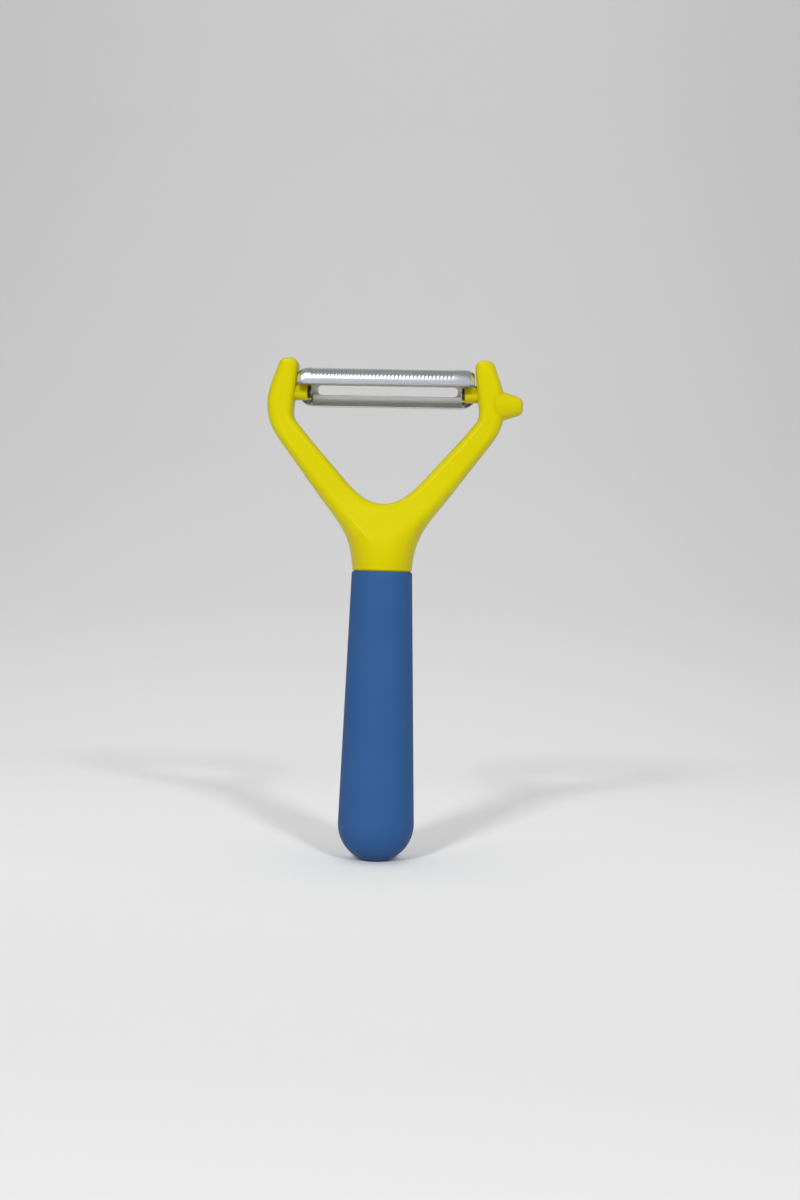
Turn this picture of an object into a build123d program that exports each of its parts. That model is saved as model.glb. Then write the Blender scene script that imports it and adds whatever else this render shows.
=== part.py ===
from build123d import *
import os
from math import acos, asin, atan2, cos, degrees, hypot, pi, radians, sin, sqrt

os.makedirs("parts", exist_ok=True)

# A hand peeler with a forked head. +Z runs up the handle, the origin is at the
# centre of the butt's flat, X lies along the blade and -Y is the front.
# Lengths are in millimetres and angles in degrees.

# Handle
handle_length = 92.5
handle_top_radius = 9.7
handle_belly_radius = 12.2
butt_flat_radius = 3.5
handle_rim_round = 0.7

# Tang of the fork, a keyed bar in the handle's socket
tang_length = 62.0
tang_top_width = 12.0
tang_tip_width = 9.6
tang_corner = 1.6
tang_tip_round = 1.2
tang_clearance = 0.1
socket_end_gap = 0.3

# Fork
fork_height = 67.9
arm_width = 8.3
neck_radius = 9.5
neck_edge_chamfer = 0.5
arm_depth = 9.4
arm_edge_radius = 3.1
arm_inner_radius = 2.3
crotch_height = 21.5
blade_to_arm_gap = 1.6
arm_tip_inset = 4.15
gap_tip_inset = 1.5
neck_corner_share = 0.985

# Blade, a half-pipe of thin sheet with a long slot
pivot_below_top = 10.6
blade_radius = 7.75
blade_thickness = 0.8
blade_half_length = 28.2
blade_wrap_angle = 201.0
blade_end_drop = 1.4
blade_end_run = 3.0
guard_width = 4.2
guard_corner_run = 4.2
guard_corner_rise = 2.6
slot_end_to_boss = 2.5
slot_width = 3.2
slot_corner = 1.2
bevel_width = 1.5
bevel_land = 0.15

# Pivots and swing stops
boss_radius = 2.8
boss_inset = 3.0
boss_edge_chamfer = 0.3
pin_radius = 0.9
pin_length = 7.0
pin_end_stub = 0.3
pin_press_clearance = 0.01
pin_running_clearance = 0.05
lug_side_gap = 0.12
lug_eye_radius = 1.8
lug_neck_width = 2.6
dog_side_gap = 0.2
dog_stop_gap = 0.06
dog_arc_angle = 30.0
swing_half_angle = 23.0

# Eye gouge on the right arm
gouge_below_pivot = 3.6
gouge_reach = 5.7
gouge_root_radius = 4.5
gouge_tip_radius = 2.5
gouge_tip_round = 2.1

# One overrun serves every cut that passes through a piece
cut_overrun = 2.0

# Stations of the fork from the neck up: height, half-width, depth and corner
# radius, each as a share of the way from the neck's size to the arm's, and the
# share of the arm's inset at its tip.
fork_station_shares = [
    (0.000, 0.000, 0.00, 0.00, 0.0),
    (0.055, 0.014, 0.00, 0.00, 0.0),
    (0.130, 0.052, 0.06, 0.16, 0.0),
    (0.198, 0.124, 0.26, 0.42, 0.0),
    (0.261, 0.226, 0.50, 0.64, 0.0),
    (0.366, 0.420, 0.74, 0.82, 0.0),
    (0.489, 0.636, 0.88, 0.92, 0.0),
    (0.609, 0.850, 0.95, 0.97, 0.0),
    (0.677, 0.948, 0.98, 1.00, 0.0),
    (0.730, 0.986, 1.00, 1.00, 0.0),
    (0.788, 1.000, 1.00, 1.00, 0.0),
    (0.866, 1.000, 1.00, 1.00, 0.207),
    (0.968, 1.000, 1.00, 0.98, 0.794),
    (1.000, 1.000, 1.00, 0.96, 1.0),
]

# Right-hand wall of the gap between the arms, from the top down: shares of
# the gap's half-width, of the height above the crotch and of the tip's inset.
gap_wall_shares = [
    (1.000, 1.000, 1.00),
    (1.000, 0.900, 0.84),
    (1.000, 0.780, 0.48),
    (1.000, 0.645, 0.00),
    (0.990, 0.590, 0.00),
    (0.940, 0.545, 0.00),
    (0.828, 0.458, 0.00),
    (0.584, 0.281, 0.00),
    (0.366, 0.125, 0.00),
    (0.200, 0.038, 0.00),
]

fork_top = handle_length + fork_height
crotch_z = handle_length + crotch_height
gap_half_width = blade_half_length + blade_to_arm_gap
fork_half_width = gap_half_width + arm_width
pivot_height = fork_top - pivot_below_top
gouge_height = pivot_height - gouge_below_pivot
gouge_tip_x = fork_half_width + gouge_reach
boss_end = blade_half_length - boss_inset
slot_length = 2 * (boss_end - slot_end_to_boss)
pin_hole_radius = pin_radius + pin_running_clearance
blade_inner_radius = blade_radius - blade_thickness
blade_middle_radius = blade_radius - blade_thickness / 2
lug_outer_x = boss_end - lug_side_gap
lug_inner_x = lug_outer_x - blade_thickness
pivot_axis = Axis((0, 0, pivot_height), (1, 0, 0))


def arc_angle(length):
    """Angle in degrees that a length takes along the middle of the sheet."""
    return degrees(length / blade_middle_radius)


def around_pivot(shape, angle):
    """Turn a shape about the blade's axis; a positive angle turns the crown forward."""
    return shape.rotate(pivot_axis, angle)


# Angles round the pivot, with the blade upright and 0 at the crown
guard_edge_angle = -blade_wrap_angle / 2
slot_low_angle = guard_edge_angle + arc_angle(guard_width)
slot_high_angle = slot_low_angle + arc_angle(slot_width)
slot_middle_angle = (slot_low_angle + slot_high_angle) / 2
lug_angle = (guard_edge_angle + slot_low_angle) / 2


def handle_outline():
    """Half outline of the handle from the butt's flat to its top rim."""
    belly_z = sqrt(handle_belly_radius**2 - butt_flat_radius**2)
    rise = handle_length - belly_z
    span = hypot(handle_top_radius, rise)
    touch = atan2(rise, handle_top_radius) - acos(handle_belly_radius / span)
    start = -asin(belly_z / handle_belly_radius)
    middle = (start + touch) / 2

    def on_belly(angle):
        return (handle_belly_radius * cos(angle), belly_z + handle_belly_radius * sin(angle))

    butt_edge = (butt_flat_radius, 0)
    top_edge = (handle_top_radius, handle_length)
    arc = ThreePointArc(butt_edge, on_belly(middle), on_belly(touch))
    side = Line(on_belly(touch), top_edge)
    closing = Polyline(top_edge, (0, handle_length), (0, 0), butt_edge)
    return make_face(Plane.XZ * (arc + side + closing))


def tang_bar(grow, tip_grow):
    """The keyed bar below the fork, or its socket when grown by a clearance."""
    top = Rectangle(tang_top_width + 2 * grow, tang_top_width + 2 * grow)
    tip = Rectangle(tang_tip_width + 2 * grow, tang_tip_width + 2 * grow)
    tip_z = handle_length - tang_length - tip_grow
    bar = loft([Pos(0, 0, tip_z) * tip, Pos(0, 0, handle_length) * top])
    sides = [edge for edge in bar.edges() if edge.length > tang_length / 2]
    bar = fillet(sides, tang_corner + grow)
    return fillet(bar.faces().sort_by(Axis.Z)[0].edges(), tang_tip_round)


def handle_grip():
    """Blue tapered grip, round all over, with the tang's socket down its axis."""
    body = revolve(handle_outline(), Axis.Z)
    rim = body.faces().sort_by(Axis.Z)[-1].edges()
    body = fillet(rim, handle_rim_round)
    return body - tang_bar(tang_clearance, socket_end_gap)


def fork_section(height_share, width_share, depth_share, corner_share, inset_share):
    """One level section of the fork: a circle at the neck, a rounded bar above."""
    half_width = neck_radius + width_share * (fork_half_width - neck_radius)
    half_width = half_width - inset_share * arm_tip_inset
    depth = 2 * neck_radius + depth_share * (arm_depth - 2 * neck_radius)
    neck_corner = neck_radius * neck_corner_share
    corner = neck_corner + corner_share * (arm_edge_radius - neck_corner)
    level = Pos(0, 0, handle_length + height_share * fork_height)
    return level * RectangleRounded(2 * half_width, depth, corner)


def gap_outline():
    """The wall of the gap, as one smooth curve from the right tip to the left."""
    rise = fork_top - crotch_z
    right = []
    for width_share, height_share, inset_share in gap_wall_shares:
        x = width_share * gap_half_width - inset_share * gap_tip_inset
        right.append((x, crotch_z + height_share * rise))
    left = [(-x, z) for x, z in reversed(right)]
    return Spline(*right, (0, crotch_z), *left)


def gap_tool(wall):
    """The open space between the arms, as a block to cut away."""
    right_tip, left_tip = wall @ 0, wall @ 1
    roof_z = fork_top + cut_overrun
    roof = Polyline(
        (left_tip.X, left_tip.Y),
        (left_tip.X, roof_z),
        (right_tip.X, roof_z),
        (right_tip.X, right_tip.Y),
    )
    face = make_face(Plane.XZ * (wall + roof))
    return extrude(face, amount=2 * neck_radius, both=True)


def forked_body():
    """Neck and arms in one moulding, with every long edge rounded."""
    body = loft([fork_section(*shares) for shares in fork_station_shares])
    wall = gap_outline()
    body = body - gap_tool(wall)
    wall_curve = Plane.XZ * wall
    rounded = []
    for edge in body.edges():
        middle = edge @ 0.5
        flat_middle = Vertex(middle.X, 0, middle.Z)
        on_wall = flat_middle.distance_to(wall_curve) < arm_inner_radius / 100
        on_top = fork_top - middle.Z < arm_inner_radius / 100
        if (on_wall or on_top) and edge.length > arm_inner_radius / 100:
            rounded.append(edge)
    return fillet(rounded, arm_inner_radius)


def boss(side):
    """Round boss that carries a pivot pin, grown from the arm's inner face."""
    length = gap_half_width + arm_inner_radius - boss_end
    end = Plane((side * boss_end, 0, pivot_height), z_dir=(side, 0, 0))
    body = end * Cylinder(boss_radius, length, align=(Align.CENTER, Align.CENTER, Align.MIN))
    rim = body.edges().sort_by(Axis.X)[0 if side > 0 else -1]
    return chamfer(rim, boss_edge_chamfer)


def stop_dog(side, middle_angle):
    """A small tooth on the boss's end that the blade's lug swings against."""
    inner = lug_eye_radius + dog_side_gap
    start = Plane((side * lug_inner_x, 0, pivot_height), z_dir=(side, 0, 0))
    length = boss_end - lug_inner_x + boss_edge_chamfer
    fit = (Align.CENTER, Align.CENTER, Align.MIN)
    ring_radius = boss_radius - boss_edge_chamfer
    ring = start * Cylinder(ring_radius, length, align=fit)
    ring = ring - start * Cylinder(inner, length, align=fit)
    reach = 2 * boss_radius
    half_arc = radians(dog_arc_angle / 2)
    corners = [(0, 0), (reach * sin(half_arc), reach), (-reach * sin(half_arc), reach)]
    wedge_face = Plane.YZ * make_face(Polyline(*corners, close=True))
    wedge = extrude(Pos(0, 0, pivot_height) * wedge_face, amount=2 * boss_end, both=True)
    return ring & around_pivot(wedge, middle_angle)


def stop_dogs(side):
    """Two teeth, one for each end of the swing, just clear of the lug's neck."""
    inner = lug_eye_radius + dog_side_gap
    neck_half_angle = degrees(asin((lug_neck_width / 2 + dog_stop_gap) / inner))
    reach = swing_half_angle + neck_half_angle + dog_arc_angle / 2
    return [stop_dog(side, lug_angle + reach), stop_dog(side, lug_angle - reach)]


def eye_gouge():
    """Blunt cone on the right arm for digging out eyes."""
    root_x = fork_half_width - arm_edge_radius
    root = Plane((root_x, 0, gouge_height), z_dir=(1, 0, 0))
    length = gouge_tip_x - root_x
    slope = (gouge_root_radius - gouge_tip_radius) / (gouge_tip_x - fork_half_width)
    buried_radius = gouge_root_radius + slope * arm_edge_radius
    fit = (Align.CENTER, Align.CENTER, Align.MIN)
    body = root * Cone(buried_radius, gouge_tip_radius, length, align=fit)
    return fillet(body.faces().sort_by(Axis.X)[-1].edges(), gouge_tip_round)


def pin_bore(side):
    """Blind bore in the boss that grips a pivot pin."""
    start_x = lug_inner_x - pin_end_stub
    mouth = Plane((side * start_x, 0, pivot_height), z_dir=(side, 0, 0))
    fit = (Align.CENTER, Align.CENTER, Align.MIN)
    return mouth * Cylinder(pin_radius + pin_press_clearance, pin_length, align=fit)


def fork_head():
    """Yellow moulding: tang, neck, two arms, bosses with stops, and the gouge."""
    body = forked_body()
    neck_rim = body.faces().sort_by(Axis.Z)[0].edges()
    body = chamfer(neck_rim, neck_edge_chamfer)
    body = body + tang_bar(0, 0)
    body = body + eye_gouge()
    for side in (-1, 1):
        body = body + boss(side)
        for dog in stop_dogs(side):
            body = body + dog
        body = body - pin_bore(side)
    return body


def sheet_line(radius):
    """One face of the sheet, seen in section from end to end, turned down at the ends."""
    flat_x = blade_half_length - blade_end_run
    z = pivot_height + radius
    bend_radius = (blade_end_run**2 + blade_end_drop**2) / (2 * blade_end_drop)
    half_turn = asin(blade_end_run / bend_radius) / 2
    mid_x = flat_x + bend_radius * sin(half_turn)
    mid_z = z - bend_radius * (1 - cos(half_turn))
    end_z = z - blade_end_drop
    right = ThreePointArc((blade_half_length, end_z), (mid_x, mid_z), (flat_x, z))
    left = ThreePointArc((-blade_half_length, end_z), (-mid_x, mid_z), (-flat_x, z))
    return [right, Line((flat_x, z), (-flat_x, z)), left]


def blade_profile():
    """Section of the sheet from end to end, above the pivot axis."""
    outer = sheet_line(blade_radius)
    inner = sheet_line(blade_inner_radius)
    right_end = Line(outer[0] @ 0, inner[0] @ 0)
    left_end = Line(outer[2] @ 0, inner[2] @ 0)
    edges = Curve() + outer + inner + right_end + left_end
    return make_face(Plane.XZ * edges)


def radial_plane(angle):
    """Plane square to the sheet at an angle round the pivot; its y runs to larger angles."""
    outward = Vector(0, 0, 1).rotate(Axis.X, angle)
    return Plane((0, 0, pivot_height), x_dir=(-1, 0, 0), z_dir=outward)


def slot_tool():
    """The long rounded slot that the peel passes through."""
    face = radial_plane(slot_middle_angle) * RectangleRounded(slot_length, slot_width, slot_corner)
    return extrude(face, amount=blade_radius + cut_overrun)


def bevel_tool():
    """Wedge ground off outside the slot's upper edge, which leaves the cutting edge."""
    plane = radial_plane(slot_high_angle)
    low = blade_inner_radius + bevel_land
    high = blade_radius + cut_overrun
    slope = (sqrt(blade_radius**2 - bevel_width**2) - low) / bevel_width
    far = bevel_width + cut_overrun
    near = -slot_width / 2
    corners = [(near, low), (0, low), (far, low + slope * far), (far, high), (near, high)]
    side_plane = Plane(plane.origin, x_dir=plane.y_dir, z_dir=plane.x_dir)
    face = side_plane * make_face(Polyline(*corners, close=True))
    return extrude(face, amount=slot_length / 2 - slot_corner, both=True)


def guard_corner_tool(side):
    """What is trimmed off to round one lower corner of the guard strip."""
    end_x = side * blade_half_length
    inner_x = end_x - side * guard_corner_run
    half = sin(pi / 4)
    middle = (inner_x + side * guard_corner_run * half, guard_corner_rise * (1 - half))
    curve = Spline(
        (end_x, guard_corner_rise), middle, (inner_x, 0), tangents=[(0, -1), (-side, 0)]
    )
    outer_x = end_x + side * cut_overrun
    rest = Polyline(
        (inner_x, 0),
        (inner_x, -cut_overrun),
        (outer_x, -cut_overrun),
        (outer_x, guard_corner_rise),
        (end_x, guard_corner_rise),
    )
    face = radial_plane(guard_edge_angle) * make_face(curve + rest)
    return extrude(face, amount=blade_radius + cut_overrun)


def lug(side):
    """Flat ear inside the shell that hangs the blade on its pivot pin."""
    start = Plane((side * lug_inner_x, 0, pivot_height), z_dir=(side, 0, 0))
    fit = (Align.CENTER, Align.CENTER, Align.MIN)
    eye = start * Cylinder(lug_eye_radius, blade_thickness, align=fit)
    reach = blade_middle_radius
    middle_x = side * (lug_inner_x + blade_thickness / 2)
    neck = Box(blade_thickness, lug_neck_width, reach, align=(Align.CENTER, Align.CENTER, Align.MIN))
    neck = around_pivot(Pos(middle_x, 0, pivot_height) * neck, lug_angle)
    hole = start * Cylinder(pin_hole_radius, blade_thickness, align=fit)
    return eye + neck - hole


def blade():
    """Steel blade, made upright and then laid back on its rear stop."""
    profile = around_pivot(blade_profile(), guard_edge_angle)
    sheet = revolve(profile, pivot_axis, blade_wrap_angle)
    sheet = sheet - slot_tool() - bevel_tool()
    for side in (-1, 1):
        sheet = sheet - guard_corner_tool(side)
        sheet = sheet + lug(side)
    return around_pivot(sheet, -swing_half_angle)


def pivot_pin(side):
    """Plain steel pin pressed into a boss, with the blade's lug on its free end."""
    start_x = lug_inner_x - pin_end_stub
    start = Plane((side * start_x, 0, pivot_height), z_dir=(side, 0, 0))
    fit = (Align.CENTER, Align.CENTER, Align.MIN)
    return start * Cylinder(pin_radius, pin_length, align=fit)


pieces = {
    "handle_grip": handle_grip(),
    "fork_head": fork_head(),
    "blade": blade(),
    "pivot_pin_left": pivot_pin(-1),
    "pivot_pin_right": pivot_pin(1),
}

for name, piece in pieces.items():
    piece.label = name
    export_step(piece, f"parts/{name}.step")
    print(name, len(piece.solids()), round(piece.volume, 1))
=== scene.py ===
"""Forked vegetable peeler standing on its butt: looks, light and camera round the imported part.

Lengths are in metres. The front faces -Y, and the blade swings about an axis along X.
"""

from math import cos, pi, radians, sin, sqrt

import bmesh
import bpy
from mathutils import Matrix, Vector


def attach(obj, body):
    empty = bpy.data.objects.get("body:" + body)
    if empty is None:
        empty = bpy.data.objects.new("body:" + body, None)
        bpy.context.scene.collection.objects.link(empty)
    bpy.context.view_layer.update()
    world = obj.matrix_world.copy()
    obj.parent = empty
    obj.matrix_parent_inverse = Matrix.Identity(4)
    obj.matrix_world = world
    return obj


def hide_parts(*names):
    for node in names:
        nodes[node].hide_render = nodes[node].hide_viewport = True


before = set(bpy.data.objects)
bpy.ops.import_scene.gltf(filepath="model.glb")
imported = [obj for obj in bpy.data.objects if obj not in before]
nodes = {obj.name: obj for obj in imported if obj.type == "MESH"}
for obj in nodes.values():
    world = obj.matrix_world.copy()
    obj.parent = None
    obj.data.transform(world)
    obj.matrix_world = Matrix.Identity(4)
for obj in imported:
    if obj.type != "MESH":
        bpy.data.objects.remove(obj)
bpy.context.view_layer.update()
scene = bpy.context.scene

# The blade's sheet, rolled round the swing axis
PIVOT_Z = 0.1498
SHEET = 0.0008
OUTER_R = 0.00775
INNER_R = OUTER_R - SHEET
MIDDLE_R = OUTER_R - SHEET / 2
HALF_LENGTH = 0.0282
LAID_BACK = radians(23.0)
END_RUN = 0.0030
END_DROP = 0.0014
RIM_ROUND = 0.00009

# Its flat blank: edges are measured from the crown, round the middle of the sheet
GUARD_EDGE = MIDDLE_R * radians(100.5)
HEEL_EDGE = -GUARD_EDGE
SLOT_LOW = MIDDLE_R * radians(67.76)
CUTTING_EDGE = MIDDLE_R * radians(42.81)
SLOT_HALF = 0.0227
SLOT_CORNER = 0.0012
GUARD_CORNER_RUN = 0.0042
GUARD_CORNER_RISE = 0.0026
HEEL_CORNER = 0.0005

# What is ground into its outside
BEVEL_WIDTH = 0.0015
BEVEL_LAND = 0.00015
BEVEL_FADE = 0.0012
FLUTES = 38
FLUTE_PITCH = 0.0012
FLUTE_FIRST = -0.0233
FLUTE_DEPTH = 0.00017
FLUTE_RUNOUT = -MIDDLE_R * radians(83.0)
FLUTE_RUNOUT_STEEPNESS = 6.0
FLUTE_MARGIN = 0.0003

# The two lugs that hang it on the pins
LUG_X = 0.02428
LUG_ANGLE = radians(-84.1)
LUG_EYE_R = 0.0018
LUG_HOLE_R = 0.00095
LUG_NECK_WIDTH = 0.0026
LUG_NECK_START = 0.0015
LUG_NECK_BITE = 0.0003

# How finely the blade's mesh is cut
FLUTE_COLUMNS = 10
END_COLUMNS = 9
BEND_ROWS = 52
LUG_SIDES = 48
SNAP = 1e-7
NEAR = 1e-6
SORT_PLACES = 7

# Zones of the blade's steel where light and shade are painted into its colour: where each fades in,
# from none to whole
CROWN_INSIDE_HEIGHTS = (0.0044, 0.0068)
WEB_DEPTHS = (0.005, 0.006)
WEB_HEIGHTS = (-0.0004, 0.0002)
LIP_HEIGHTS = (0.0020, 0.0026)
LIP_DEPTHS = (-0.0060, -0.0055)
EAR_RADII = (INNER_R - 0.0012, INNER_R - 0.0006)

# The sheet of paper, from its front edge on the table up to the backdrop's top
SWEEP_FRONT = -1.6
SWEEP_BEND_AT = 0.35
SWEEP_BEND_R = 0.75
SWEEP_BEND_STEPS = 32
SWEEP_RISE = 0.25
SWEEP_HALF_WIDTH = 2.2

# Its painted light and shade, at shares of the 2 m of Y + Z that start 0.4 m in front of the peeler
PAINTED_LIGHT_LEAD = 0.4
PAINTED_LIGHT_SCALE = 0.5
PAINTED_PAPER_LIGHT = (
    (0.075, 0.745), (0.125, 0.80), (0.175, 0.875), (0.225, 0.905), (0.28, 0.935),
    (0.395, 0.96), (0.4675, 0.905), (0.5875, 0.79), (0.735, 0.735), (1.0, 0.695),
)

# The camera; its turn and roll stand for the peeler's own in the photograph
LENS = 51.2
SENSOR_HEIGHT = 36.0
CAMERA_TURN = radians(3.2)
CAMERA_ROLL = radians(-1.4)
CAMERA_ACROSS = 0.0060
CAMERA_BACK = 0.5475
CAMERA_Z = 0.08355

# The two front lights: side, place, size of the lamp, its power, power of the panel's shine
FRONT_LIGHTS = (
    ("right", (0.516, -1.264, 0.78), 0.14, 9.0, 2.6),
    ("left", (-0.363, -1.327, 0.76), 0.16, 11.5, 3.0),
)
FRONT_AIM = (0, 0, 0.1)
PANEL_SIZE = 0.3

# The two ceiling lights: place, width, depth and power
CEILING_FILL = ((-0.1, 0.2, 1.5), 1.6, 1.2, 5.6)
CEILING_STRIP = ((-0.392, -0.19, 0.95), 0.70, 0.36, 2.1)


class Value:
    """A socket that can stand in a sum, so that shader maths reads as plain arithmetic."""

    def __init__(self, finish, socket):
        self.finish = finish
        self.socket = socket

    def maths(self, operation, first, second=0.0):
        return self.finish.node("ShaderNodeMath", {"operation": operation}, {0: first, 1: second})

    def __add__(self, other):
        return self.maths("ADD", self, other)

    def __sub__(self, other):
        return self.maths("SUBTRACT", self, other)

    def __rsub__(self, other):
        return self.maths("SUBTRACT", other, self)

    def __mul__(self, other):
        return self.maths("MULTIPLY", self, other)

    def __pow__(self, other):
        return self.maths("POWER", self, other)

    __radd__ = __add__
    __rmul__ = __mul__

    def above(self, start, end):
        """0 below start, 1 above end, and smooth between them."""
        settings = {"interpolation_type": "SMOOTHSTEP"}
        sockets = {"Value": self, "From Min": start, "From Max": end, "To Min": 0.0, "To Max": 1.0}
        return self.finish.node("ShaderNodeMapRange", settings, sockets)


class Finish:
    """A node tree for one material or for the world."""

    def __init__(self, owner):
        self.owner = owner
        self.tree = owner.node_tree

    def join(self, socket, value):
        """Links a Value to a socket, or sets the socket to a plain number, colour or vector."""
        if isinstance(value, Value):
            self.tree.links.new(value.socket, socket)
        elif isinstance(value, tuple) and len(value) == 3 and socket.type == "RGBA":
            socket.default_value = (*value, 1.0)
        else:
            socket.default_value = value

    def node(self, kind, settings, sockets, output=0):
        """Adds a node: its settings first, then its sockets, and gives back one output."""
        made = self.tree.nodes.new(kind)
        for name, value in settings.items():
            if name == "stops":
                self.set_stops(made.color_ramp.elements, value)
            else:
                setattr(made, name, value)
        for name, value in sockets.items():
            self.join(made.inputs[name], value)
        return Value(self, made.outputs[output])

    def set_stops(self, stops, wanted):
        while len(stops) < len(wanted):
            stops.new(1.0)
        for stop, (place, colour) in zip(stops, wanted):
            stop.position = place
            stop.color = (*colour, 1.0)

    def place(self, scale=(1.0, 1.0, 1.0)):
        """Object coordinates, scaled for a pattern."""
        spot = self.node("ShaderNodeTexCoord", {}, {}, "Object")
        return self.node("ShaderNodeMapping", {}, {"Vector": spot, "Scale": scale})

    def part_of(self, vector, letter):
        return self.node("ShaderNodeSeparateXYZ", {}, {"Vector": vector}, letter)

    def axis(self, letter):
        """One Object coordinate, in metres."""
        return self.part_of(self.node("ShaderNodeTexCoord", {}, {}, "Object"), letter)

    def noise(self, scale, detail=3.0, roughness=0.5, spot=None):
        """Noise from 0 to 1; scale is in patches to the metre."""
        spot = spot or self.place()
        sockets = {"Vector": spot, "Scale": scale, "Detail": detail, "Roughness": roughness}
        return self.node("ShaderNodeTexNoise", {}, sockets)

    def mix(self, factor, first, second):
        """Mixes two colours; the node keeps a set of sockets for each kind of data."""
        mixer = self.node("ShaderNodeMix", {"data_type": "RGBA"}, {}).socket.node
        for name, kind, value in (
            ("Factor", "VALUE", factor), ("A", "RGBA", first), ("B", "RGBA", second),
        ):
            self.join(next(s for s in mixer.inputs if s.name == name and s.type == kind), value)
        return Value(self, next(s for s in mixer.outputs if s.type == "RGBA"))

    def bump(self, height, distance, strength):
        sockets = {"Height": height, "Distance": distance, "Strength": strength}
        return self.node("ShaderNodeBump", {}, sockets)


def surface_finish(name):
    material = bpy.data.materials.new(name)
    material.use_nodes = True
    return Finish(material)


def set_surface(finish, **sockets):
    """Sets or links sockets of the material's own surface shader, with _ for a space."""
    shader = finish.tree.nodes["Principled BSDF"]
    for name, value in sockets.items():
        finish.join(shader.inputs[name.replace("_", " ")], value)
    return finish.owner


def yellow_moulding():
    """Glossy yellow plastic, a little clouded, with the faint grain of its mould."""
    finish = surface_finish("yellow moulding")
    cloud = finish.noise(38.0, 2.0)
    grain = finish.noise(2600.0, 2.0)
    swirl = finish.noise(160.0, 3.0, spot=finish.place((1.0, 1.0, 0.35)))
    clear, clouded = (0.545, 0.484, 0.0), (0.530, 0.462, 0.0)
    return set_surface(
        finish,
        Base_Color=finish.mix(cloud.above(0.35, 0.7), clear, clouded),
        Roughness=0.28 + 0.07 * swirl + 0.05 * grain,
        Normal=finish.bump(grain * 0.5 + swirl * 0.9, 0.00004, 0.4),
        Specular_IOR_Level=0.36,
        Specular_Tint=(1.0, 0.95, 0.15),
        Coat_Weight=0.04,
        Coat_Roughness=0.10,
        Subsurface_Weight=0.12,
        Subsurface_Radius=(1.0, 0.75, 0.05),
        Subsurface_Scale=0.0025,
    )


def blue_grip():
    """Matte blue plastic with a fine, soft-touch grain."""
    finish = surface_finish("blue grip")
    cloud = finish.noise(45.0, 2.0)
    grain = finish.noise(3400.0, 3.0, 0.6)
    patch = finish.noise(420.0, 2.0)
    clear, clouded, fleck = (0.0250, 0.0885, 0.2425), (0.0225, 0.082, 0.230), (0.032, 0.105, 0.262)
    colour = finish.mix(cloud.above(0.3, 0.75), clear, clouded)
    return set_surface(
        finish,
        Base_Color=finish.mix(grain.above(0.5, 0.8) * 0.3, colour, fleck),
        Roughness=0.50 + 0.12 * grain + 0.06 * patch,
        Normal=finish.bump(grain * 0.7 + patch * 0.6, 0.00007, 0.6),
        Specular_IOR_Level=0.16,
    )


def blade_steel():
    """Polished stainless sheet with the fine lines of rolling and grinding.

    Light and shade are painted into the colour: the shell's inside is painted lighter, and the
    crown's inside, the ears and the sheared front edge are painted dark as shade, while the strip
    beside the slot gets a painted warm reflection and shade. These zones are also rougher, as the
    duller skin of the press."""
    finish = surface_finish("blade steel")
    lines = finish.noise(1.0, 3.0, 0.6, finish.place((60.0, 5200.0, 5200.0)))
    smear = finish.noise(150.0, 3.0)
    height = finish.axis("Z") - PIVOT_Z
    depth = finish.axis("Y")
    radius = (depth ** 2 + height ** 2) ** 0.5
    # the masks below mark where light and shade are painted into the steel's colour
    inside = 1.0 - radius.above(INNER_R, MIDDLE_R)
    crown_inside_painted_shade = inside * height.above(*CROWN_INSIDE_HEIGHTS)
    # inside, behind and above the axis, by the slot: a painted warm reflection of the yellow
    # bosses, and painted shade
    web_painted_shade_and_reflection = inside * depth.above(*WEB_DEPTHS) * height.above(*WEB_HEIGHTS)
    # the ears and the sheared front edge are painted dark, as painted shade
    ear = 1.0 - radius.above(*EAR_RADII)
    lip_painted_shade = (1.0 - height.above(*LIP_HEIGHTS)) * (1.0 - depth.above(*LIP_DEPTHS))
    colour = finish.mix(smear.above(0.35, 0.7), (0.70, 0.71, 0.73), (0.64, 0.65, 0.67))
    # each zone's colour is painted light or shade: lighter inside, dark in the crown, warm grey by
    # the slot, near black on the ears, dark grey on the front edge
    for zone, steel in (
        (inside, (0.92, 0.92, 0.93)),
        (crown_inside_painted_shade, (0.21, 0.215, 0.24)),
        (web_painted_shade_and_reflection, (0.47, 0.455, 0.40)),
        (ear, (0.10, 0.095, 0.08)),
        (lip_painted_shade, (0.30, 0.30, 0.31)),
    ):
        colour = finish.mix(zone, colour, steel)
    polished = 0.16 + 0.09 * lines + 0.05 * smear
    return set_surface(
        finish,
        Base_Color=colour,
        Metallic=1.0,
        Roughness=polished + 0.08 * inside + 0.16 * web_painted_shade_and_reflection + 0.2 * ear + 0.15 * lip_painted_shade,
        Normal=finish.bump(lines, 0.000012, 0.35),
    )


def pin_steel():
    """Bright drawn wire, with lines along its length."""
    finish = surface_finish("pin steel")
    lines = finish.noise(1.0, 2.0, 0.5, finish.place((150.0, 6000.0, 6000.0)))
    return set_surface(
        finish,
        Base_Color=finish.mix(lines, (0.58, 0.59, 0.61), (0.66, 0.67, 0.69)),
        Metallic=1.0,
        Roughness=0.22 + 0.12 * lines,
        Normal=finish.bump(lines, 0.00001, 0.3),
    )


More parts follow.
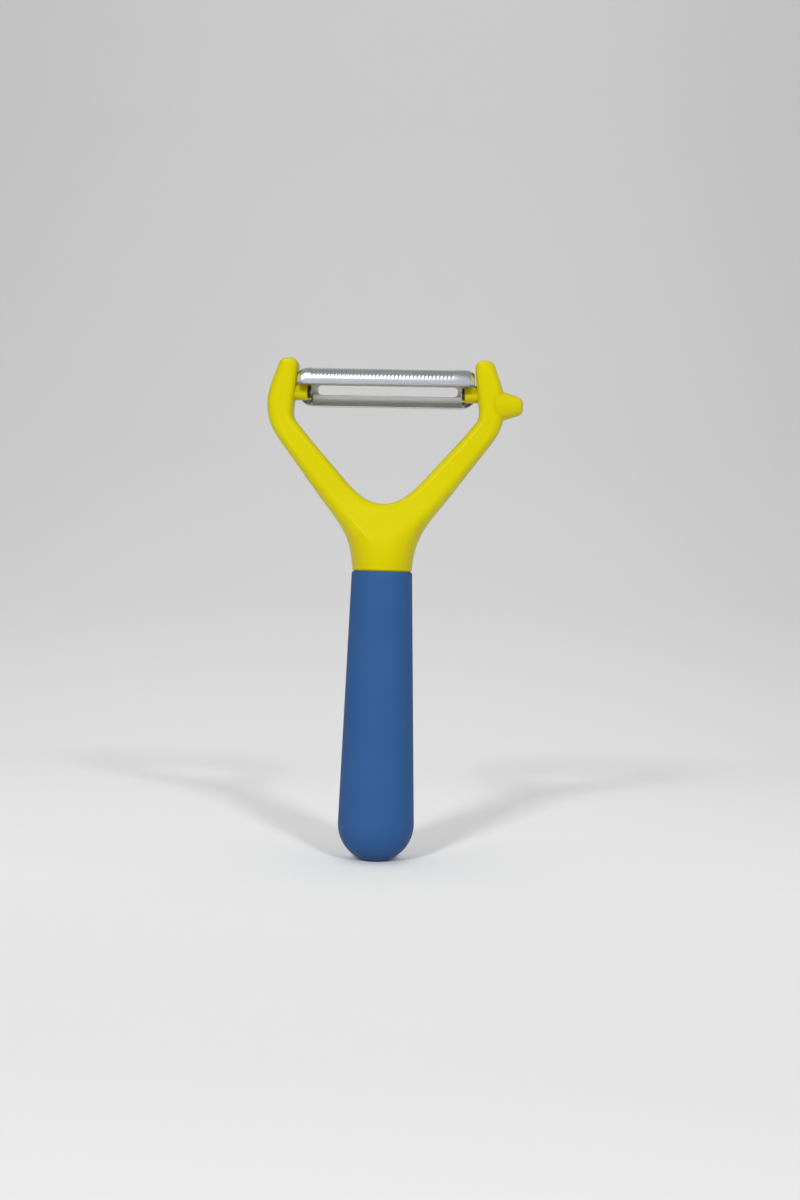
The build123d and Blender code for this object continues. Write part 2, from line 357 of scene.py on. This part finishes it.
def studio_paper():
    """Pale paper with painted light and shade: near white behind the peeler, greyer in front, up
    the backdrop and aside.
    """
    finish = surface_finish("studio paper")
    # the ramp paints light and shade along the table and up the backdrop
    along = (finish.axis("Y") + finish.axis("Z") + PAINTED_LIGHT_LEAD) * PAINTED_LIGHT_SCALE
    ramp = {"stops": [(spot, (shade,) * 3) for spot, shade in PAINTED_PAPER_LIGHT]}
    paper = finish.node("ShaderNodeValToRGB", ramp, {"Fac": along})
    # painted shade: the paper is painted darker towards each side, more on the right
    side = finish.axis("X")
    painted_side_shade = side.above(0.0, 0.45) * 0.10 + (0.0 - side).above(0.1, 0.5) * 0.05
    paper_with_painted_shade = finish.mix(painted_side_shade, paper, (0.0, 0.0, 0.0))
    fibre = finish.noise(900.0, 2.0)
    return set_surface(
        finish,
        Base_Color=finish.mix(fibre * 0.04, paper_with_painted_shade, (0.62, 0.62, 0.62)),
        Roughness=0.85,
        Specular_IOR_Level=0.15,
    )


def verts_of(geometry):
    return [part for part in geometry if isinstance(part, bmesh.types.BMVert)]


def solid(name, bm, material):
    """Turns a finished bmesh into a smooth object that sits at the origin.

    The operators leave corners and faces in an order that changes from run to run, so both
    are sorted here."""
    verts = sorted(bm.verts, key=lambda vert: vert.co.to_tuple(SORT_PLACES))
    for index, vert in enumerate(verts):
        vert.index = index
    faces = sorted([vert.index for vert in face.verts] for face in bm.faces)
    mesh = bpy.data.meshes.new(name)
    mesh.from_pydata([vert.co for vert in verts], [], faces)
    mesh.shade_smooth()
    bm.free()
    mesh.materials.append(material)
    piece = bpy.data.objects.new(name, mesh)
    scene.collection.objects.link(piece)
    return piece


def cut(bm, place, direction, faces=None):
    """Cuts a bmesh, or only some faces of it, along a plane."""
    if faces is None:
        geometry = bm.verts[:] + bm.edges[:] + bm.faces[:]
    else:
        edges = {edge for face in faces for edge in face.edges}
        verts = {vert for face in faces for vert in face.verts}
        geometry = [*verts, *edges, *faces]
    bmesh.ops.bisect_plane(bm, geom=geometry, plane_co=place, plane_no=direction, dist=SNAP)


def ease(bm, geometry, kind, size, segments):
    """Rounds corners or edges to a size."""
    bmesh.ops.bevel(
        bm, geom=geometry, offset=size, affect=kind, segments=segments, profile=0.5, material=-1
    )


def blade_blank():
    """The flat blank as punched: a plate with its slot, rounded corners and eased edges.

    X runs along the blade, Y round it from the heel to the guard, Z is 0 on the outside."""
    bm = bmesh.new()
    bmesh.ops.create_grid(bm, x_segments=1, y_segments=1, size=1.0)
    bmesh.ops.scale(bm, vec=(HALF_LENGTH, GUARD_EDGE, 1.0), verts=bm.verts)
    for x in (-SLOT_HALF, 0.0, SLOT_HALF):
        cut(bm, (x, 0, 0), (1, 0, 0))
    for y in (CUTTING_EDGE, SLOT_LOW):
        cut(bm, (0, y, 0), (0, 1, 0))

    def in_slot(face):
        centre = face.calc_center_median()
        return abs(centre.x) < SLOT_HALF and CUTTING_EDGE < centre.y < SLOT_LOW

    def corners(wanted):
        return [v for v in bm.verts if wanted(abs(v.co.x), v.co.y)]

    bmesh.ops.delete(bm, geom=[f for f in bm.faces if in_slot(f)], context="FACES")
    # the edges on the middle line stay, so that the plate is two faces round the slot
    inner_edges = [
        e for e in bm.edges
        if len(e.link_faces) == 2 and max(abs(v.co.x) for v in e.verts) > NEAR
    ]
    bmesh.ops.dissolve_edges(bm, edges=inner_edges, use_verts=False)

    # the guard's corners are longer than they are high, so they are rounded in a stretched plate
    stretch = GUARD_CORNER_RUN / GUARD_CORNER_RISE
    bmesh.ops.scale(bm, vec=(1.0, stretch, 1.0), verts=bm.verts)
    guard_corners = corners(lambda x, y: x > HALF_LENGTH - NEAR and y > GUARD_EDGE * stretch - NEAR)
    ease(bm, guard_corners, "VERTICES", GUARD_CORNER_RUN, 10)
    bmesh.ops.scale(bm, vec=(1.0, 1 / stretch, 1.0), verts=bm.verts)
    slot_corners = corners(
        lambda x, y: abs(x - SLOT_HALF) < NEAR and CUTTING_EDGE - NEAR < y < SLOT_LOW + NEAR
    )
    ease(bm, slot_corners, "VERTICES", SLOT_CORNER, 8)
    heel_corners = corners(lambda x, y: x > HALF_LENGTH - NEAR and y < HEEL_EDGE + NEAR)
    ease(bm, heel_corners, "VERTICES", HEEL_CORNER, 4)

    plate = bmesh.ops.extrude_face_region(bm, geom=bm.faces[:])
    bmesh.ops.translate(bm, vec=(0, 0, -SHEET), verts=verts_of(plate["geom"]))
    bmesh.ops.recalc_face_normals(bm, faces=bm.faces)
    rims = [
        e for e in bm.edges
        if len(e.link_faces) == 2 and abs(e.verts[0].co.z - e.verts[1].co.z) < SNAP
        and e.calc_face_angle() > 1.0
    ]
    ease(bm, rims, "EDGES", RIM_ROUND, 2)
    return bm


def end_drop(x):
    """How far the sheet's ends are turned down towards the axis."""
    past = max(0.0, abs(x) - (HALF_LENGTH - END_RUN))
    bend_r = (END_RUN ** 2 + END_DROP ** 2) / (2 * END_DROP)
    return bend_r - sqrt(bend_r ** 2 - past ** 2)


def flute_depth(x, y):
    """Depth of the ground flutes: round grooves side by side, which narrow and run out."""
    along = (x - FLUTE_FIRST) / FLUTE_PITCH
    if along < -0.5 or along > FLUTES - 0.5:
        return 0.0
    aside = (along - round(along)) * FLUTE_PITCH
    groove_r = (FLUTE_PITCH / 2) ** 2 / (2 * FLUTE_DEPTH)
    left = (y - FLUTE_RUNOUT) / (CUTTING_EDGE - FLUTE_RUNOUT)
    deepest = FLUTE_DEPTH * min(1.0, max(0.0, left) * FLUTE_RUNOUT_STEEPNESS)
    return max(0.0, deepest - aside ** 2 / (2 * groove_r))


def wall_share(x, y):
    """The share of the sheet's thickness that the flutes and the edge's bevel leave."""
    past = y - (CUTTING_EDGE - BEVEL_WIDTH)
    to_end = SLOT_HALF - SLOT_CORNER / 2 - abs(x)
    ground = 0.0
    if 0.0 < past and y < CUTTING_EDGE + NEAR:
        fade = min(1.0, max(0.0, to_end / BEVEL_FADE))
        ground = (SHEET - BEVEL_LAND) * past / BEVEL_WIDTH * fade
    fluted = min(flute_depth(x, y), SHEET - ground - BEVEL_LAND)
    return (SHEET - ground - fluted) / SHEET


def bend_round(bm):
    """Grinds the flat blank, rolls it round the swing axis and lays it on its rear stop."""
    for vert in bm.verts:
        x, y, z = vert.co
        is_ground = z > -SHEET / 2 or y > CUTTING_EDGE - BEVEL_WIDTH
        share = wall_share(x, y) if is_ground else 1.0
        radius = INNER_R + (SHEET + z) * share - end_drop(x)
        angle = -y / MIDDLE_R - LAID_BACK
        vert.co = (x, -radius * sin(angle), PIVOT_Z + radius * cos(angle))


def blade_lug(bm, side):
    """Adds the flat ear inside one end of the shell, with the hole that the pin runs in."""
    ear = bmesh.new()
    rings = [
        bmesh.ops.create_circle(ear, cap_ends=False, segments=LUG_SIDES, radius=radius)["verts"]
        for radius in (LUG_EYE_R, LUG_HOLE_R)
    ]
    loops = {edge for ring in rings for vert in ring for edge in vert.link_edges}
    bmesh.ops.bridge_loops(ear, edges=list(loops))
    raised = bmesh.ops.extrude_face_region(ear, geom=ear.faces[:])
    bmesh.ops.translate(ear, vec=(0, 0, SHEET), verts=verts_of(raised["geom"]))
    neck = bmesh.ops.create_cube(ear, size=1.0)["verts"]
    reach = INNER_R + LUG_NECK_BITE - LUG_NECK_START
    bmesh.ops.scale(ear, vec=(reach, LUG_NECK_WIDTH, SHEET), verts=neck)
    bmesh.ops.translate(ear, vec=(LUG_NECK_START + reach / 2, 0, SHEET / 2), verts=neck)
    # the ear is turned square to the axis, and its neck points at the guard strip
    turn = Matrix.Rotation(LUG_ANGLE - LAID_BACK, 4, "X") @ Matrix.Rotation(-pi / 2, 4, "Y")
    bmesh.ops.transform(ear, matrix=turn, verts=ear.verts)
    low = min(v.co.x for v in ear.verts)
    start = LUG_X if side > 0 else -LUG_X - SHEET
    bmesh.ops.translate(ear, vec=(start - low, 0, PIVOT_Z), verts=ear.verts)
    bmesh.ops.recalc_face_normals(ear, faces=ear.faces)
    scrap = bpy.data.meshes.new("ear")
    ear.to_mesh(scrap)
    ear.free()
    bm.from_mesh(scrap)
    bpy.data.meshes.remove(scrap)


def peeling_blade(material):
    """The whole blade: rolled sheet with flutes and cutting edge, and its two lugs."""
    bm = blade_blank()

    def may_be_fluted(face):
        on_inside = face.normal.z <= -0.9
        return not on_inside and face.calc_center_median().y < CUTTING_EDGE + FLUTE_MARGIN

    for step in range(FLUTES * FLUTE_COLUMNS + 1):
        x = FLUTE_FIRST + (step / FLUTE_COLUMNS - 0.5) * FLUTE_PITCH
        cut(bm, (x, 0, 0), (1, 0, 0), [f for f in bm.faces if may_be_fluted(f)])
    for step in range(1, END_COLUMNS):
        for side in (-1, 1):
            x = side * (HALF_LENGTH - END_RUN * (1 - step / END_COLUMNS))
            cut(bm, (x, 0, 0), (1, 0, 0))
    for row in range(1, BEND_ROWS):
        y = HEEL_EDGE + (GUARD_EDGE - HEEL_EDGE) * row / BEND_ROWS
        cut(bm, (0, y, 0), (0, 1, 0))
    bend_round(bm)
    bmesh.ops.recalc_face_normals(bm, faces=bm.faces)
    for side in (-1, 1):
        blade_lug(bm, side)
    return solid("peeling_blade", bm, material)


def paper_sweep(material):
    """One sheet of paper that lies on the table and curves up into the backdrop."""
    bm = bmesh.new()
    verts = [bm.verts.new((0, y, 0)) for y in (SWEEP_FRONT, SWEEP_BEND_AT)]
    bm.edges.new(verts)
    bend = bmesh.ops.spin(
        bm, geom=[verts[1]], cent=(0, SWEEP_BEND_AT, SWEEP_BEND_R), axis=(1, 0, 0),
        angle=pi / 2, steps=SWEEP_BEND_STEPS,
    )
    top = bmesh.ops.extrude_vert_indiv(bm, verts=verts_of(bend["geom_last"]))
    bmesh.ops.translate(bm, vec=(0, 0, SWEEP_RISE), verts=top["verts"])
    bmesh.ops.translate(bm, vec=(-SWEEP_HALF_WIDTH, 0, 0), verts=bm.verts)
    wide = bmesh.ops.extrude_edge_only(bm, edges=bm.edges[:])
    bmesh.ops.translate(bm, vec=(2 * SWEEP_HALF_WIDTH, 0, 0), verts=verts_of(wide["geom"]))
    bmesh.ops.recalc_face_normals(bm, faces=bm.faces)
    return solid("paper_sweep", bm, material)


def softbox(name, place, aim, width, height, power):
    """A rectangular lamp that the camera doesn't see."""
    lamp = bpy.data.lights.new(name, "AREA")
    lamp.shape = "RECTANGLE"
    lamp.size = width
    lamp.size_y = height
    lamp.energy = power
    box = bpy.data.objects.new(name, lamp)
    box.location = place
    box.rotation_euler = (Vector(aim) - Vector(place)).to_track_quat("-Z", "Y").to_euler()
    box.visible_camera = False
    scene.collection.objects.link(box)
    return box


def ceiling_light(name, place, width, depth, power):
    """A softbox that faces down, tipped a hair so that its sides keep to X and Y."""
    x, y, _ = place
    return softbox(name, place, (x, y + 0.001, 0), width, depth, power)


def studio_lights():
    """Small lamps make the shadows; wide panels in the same places give the soft shine."""
    for side, place, size, power, shine in FRONT_LIGHTS:
        lamp = softbox(f"front {side} lamp", place, FRONT_AIM, size, size, power)
        lamp.visible_glossy = False
        panel = softbox(f"front {side} panel", place, FRONT_AIM, PANEL_SIZE, PANEL_SIZE, shine)
        panel.visible_diffuse = False
    ceiling_light("ceiling fill", *CEILING_FILL).visible_glossy = False
    ceiling_light("ceiling strip", *CEILING_STRIP).visible_diffuse = False


def room_light():
    """Even light from the room; shiny surfaces see it dark behind and paler in front."""
    room = bpy.data.worlds.new("room")
    room.use_nodes = True
    scene.world = room
    finish = Finish(room)
    heading = finish.node("ShaderNodeTexCoord", {}, {}, "Generated")
    back = finish.part_of(heading, "Y")
    up = finish.part_of(heading, "Z")
    glossy = finish.node("ShaderNodeLightPath", {}, {}, "Is Glossy Ray")
    front = finish.mix(up.above(0.25, 0.75), (0.50, 0.50, 0.505), (0.62, 0.65, 0.72))
    seen = finish.mix(back.above(-0.25, 0.12), front, (0.34, 0.34, 0.35))
    background = finish.tree.nodes["Background"]
    finish.join(background.inputs["Color"], finish.mix(glossy, (0.28, 0.28, 0.28), seen))
    background.inputs["Strength"].default_value = 1.0


def camera():
    lens = bpy.data.cameras.new("camera")
    lens.sensor_fit = "VERTICAL"
    lens.sensor_height = SENSOR_HEIGHT
    lens.lens = LENS
    lens.clip_start = 0.01
    lens.dof.use_dof = False
    view = bpy.data.objects.new("camera", lens)
    view.location = (
        CAMERA_ACROSS * cos(CAMERA_TURN) + CAMERA_BACK * sin(CAMERA_TURN),
        CAMERA_ACROSS * sin(CAMERA_TURN) - CAMERA_BACK * cos(CAMERA_TURN),
        CAMERA_Z,
    )
    view.rotation_euler = (pi / 2, CAMERA_ROLL, CAMERA_TURN)
    scene.collection.objects.link(view)
    scene.camera = view


scene.view_settings.view_transform = "Standard"

looks = {
    "handle_grip": blue_grip(),
    "fork_head": yellow_moulding(),
    "pivot_pin_left": pin_steel(),
}
looks["pivot_pin_right"] = looks["pivot_pin_left"]
for name, material in looks.items():
    nodes[name].material_slots[0].material = material

blade = peeling_blade(blade_steel())
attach(blade, "blade")
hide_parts("blade")

paper_sweep(studio_paper())
studio_lights()
room_light()
camera()
